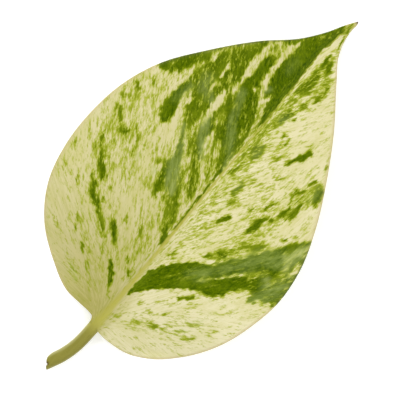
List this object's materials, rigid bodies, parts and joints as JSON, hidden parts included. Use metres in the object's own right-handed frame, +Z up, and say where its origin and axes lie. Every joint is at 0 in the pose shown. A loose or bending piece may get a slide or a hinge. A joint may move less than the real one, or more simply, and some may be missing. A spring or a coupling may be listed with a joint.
{
  "type": "pothos leaf",
  "caption": "Cut heart-shaped pothos leaf with cream and green marbling, a sunken midrib, drooping basal lobes and a short petiole, lying face up on a surface.",
  "frame": {"origin": "bottom centre of the leaf's bounding box, on the surface that it lies on", "axes": "+Y along the blade from the petiole to the tip, +X towards the leaf's right half, +Z up, out of its upper face"},
  "size_m": [0.0776, 0.1364, 0.0116],
  "materials": {
    "leaf_tissue": "thin satin wax over cream tissue marbled with green"
  },
  "bodies": {
    "root": {"leaf": "leaf_tissue"}
  },
  "joints": []
}
